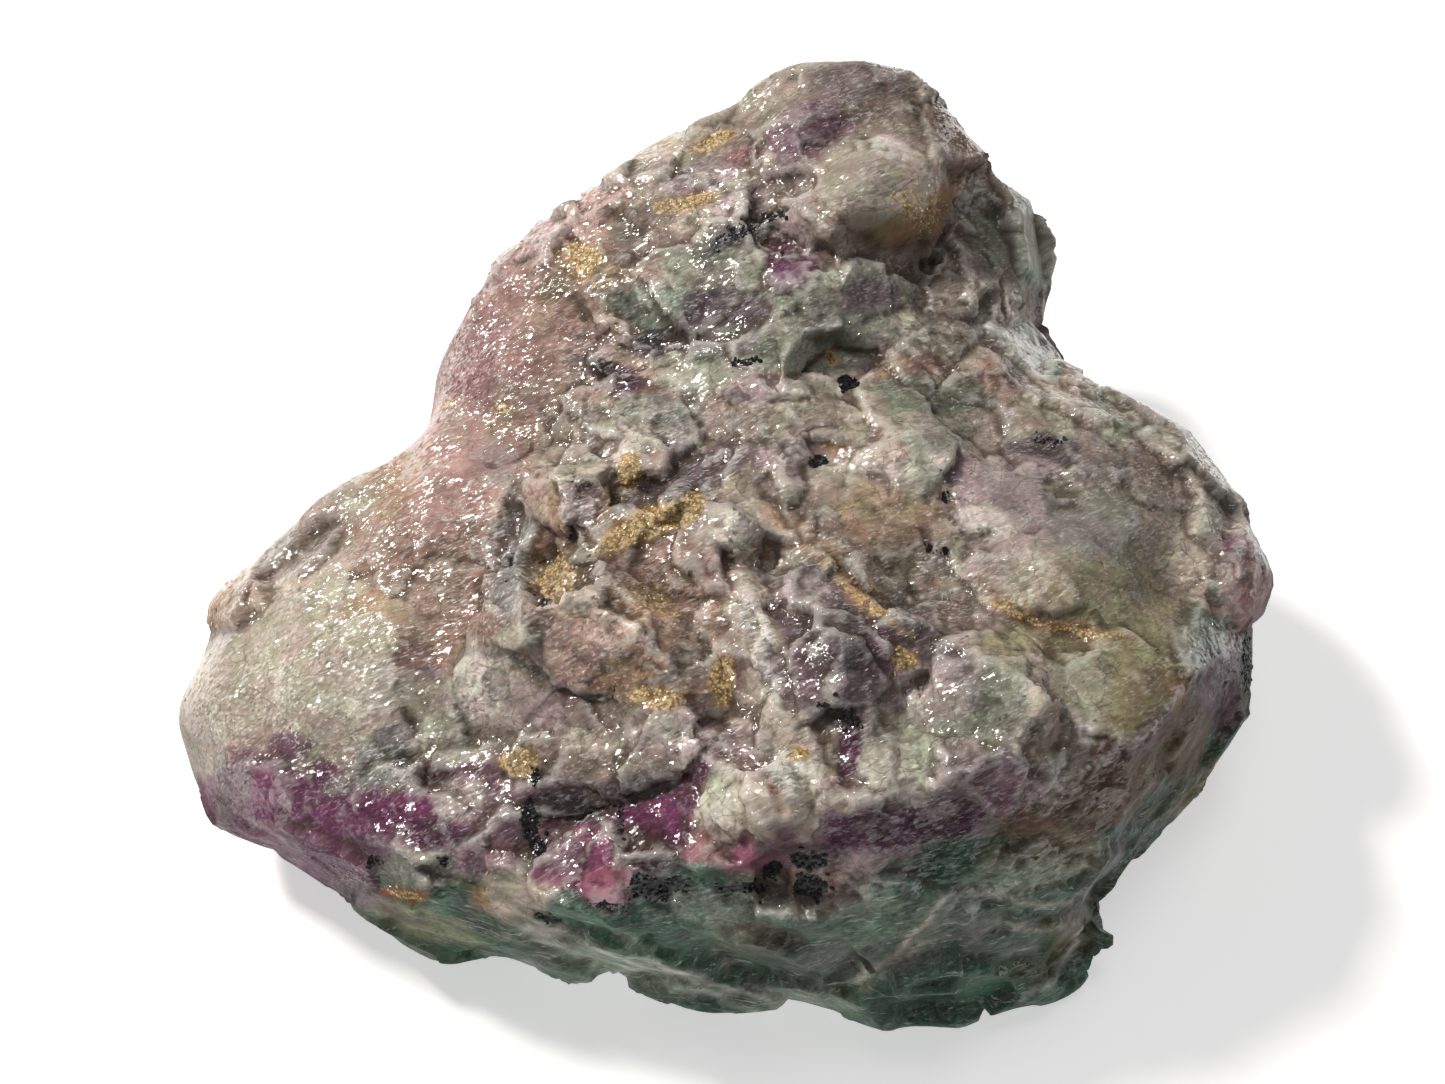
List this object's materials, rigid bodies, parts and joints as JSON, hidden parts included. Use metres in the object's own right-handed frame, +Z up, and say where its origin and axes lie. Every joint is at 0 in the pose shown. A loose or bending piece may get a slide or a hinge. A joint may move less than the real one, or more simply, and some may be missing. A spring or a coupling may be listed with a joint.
{
  "type": "fluorite specimen",
  "caption": "Rough wedge of green and purple fluorite with a knobbly glittering crust and a steep wall of broken green crystal; it rests on the flats of its underside.",
  "frame": {"origin": "on the floor, under the middle of the lump's box", "axes": "+Z up, +X along the long side of the lump, -Y towards the steep green wall and the viewer"},
  "size_m": [0.149, 0.126, 0.0602],
  "materials": {
    "fluorite": "cloudy, translucent crystal with a glassy shine; opaque here"
  },
  "bodies": {
    "root": {"fluorite_specimen": "fluorite"}
  },
  "joints": []
}
